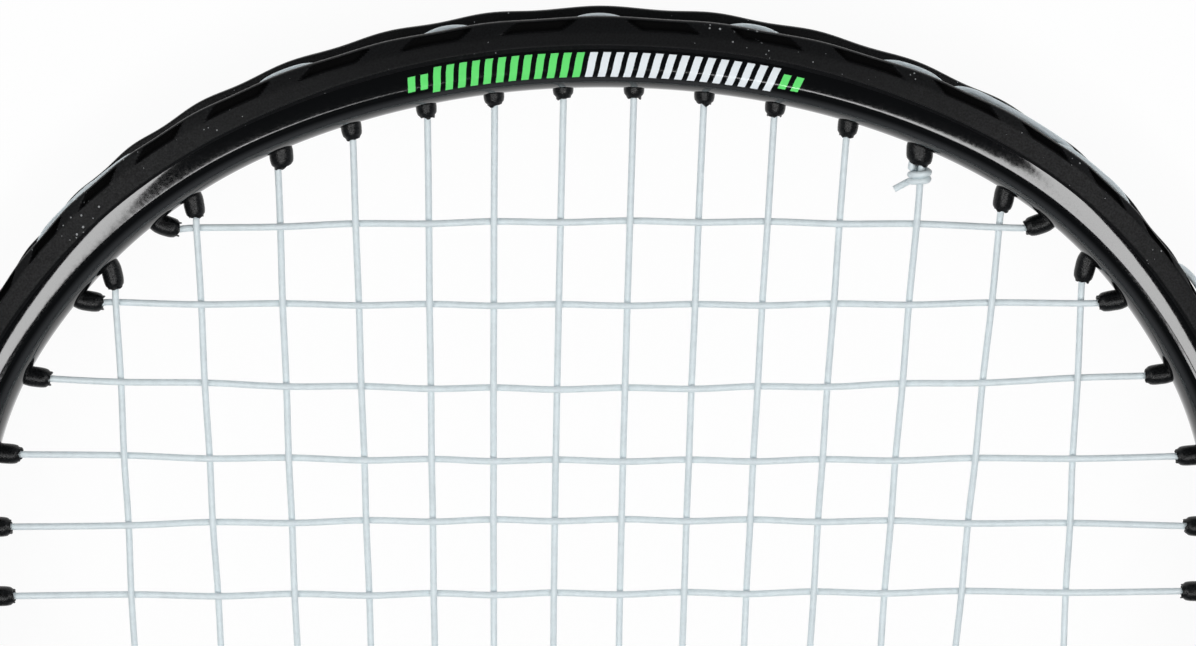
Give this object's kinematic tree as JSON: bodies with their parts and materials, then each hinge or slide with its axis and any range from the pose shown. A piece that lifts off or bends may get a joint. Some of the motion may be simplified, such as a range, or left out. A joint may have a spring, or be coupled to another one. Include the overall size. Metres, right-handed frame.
{
  "type": "crossminton racket",
  "caption": "Crossminton racket with a teardrop lacquered tube frame, bumper guard, woven string bed, throat bridge and wrapped octagonal handle.",
  "frame": {"origin": "under the middle of the racket's length and width, on the surface that it lies on", "axes": "+Y along the racket towards the tip of the head, +Z out of the string face, +X to the right of a viewer who looks at that face with the tip up"},
  "size_m": [0.2142, 0.585, 0.0313],
  "materials": {
    "lacquered_tube": "black lacquer over aluminium",
    "bumper_plastic": "matte, finely speckled",
    "grommet_plastic": "semi-gloss",
    "bridge_plastic": "semi-gloss",
    "string_nylon": "semi-gloss monofilament",
    "core_plastic": "matte",
    "cap_plastic": "satin",
    "grip_rubber": "matte, perforated",
    "tape_vinyl": "semi-gloss",
    "collar_rubber": "matte",
    "rivet_metal": "satin"
  },
  "bodies": {
    "root": {"frame_tube": "lacquered_tube", "bumper_guard": "bumper_plastic", "side_strip_left": "grommet_plastic", "side_strip_right": "grommet_plastic", "throat_bridge": "bridge_plastic", "throat_strip": "grommet_plastic", "bridge_rivet_left": "rivet_metal", "bridge_rivet_right": "rivet_metal", "main_string": "string_nylon", "cross_string": "string_nylon", "handle_shell_front": "core_plastic", "handle_shell_back": "core_plastic", "butt_cap": "cap_plastic", "butt_cap_tack_front": "rivet_metal", "butt_cap_tack_back": "rivet_metal", "handle_ferrule": "cap_plastic", "grip_tape": "grip_rubber", "finishing_tape": "tape_vinyl", "rubber_collar": "collar_rubber"}
  },
  "joints": []
}
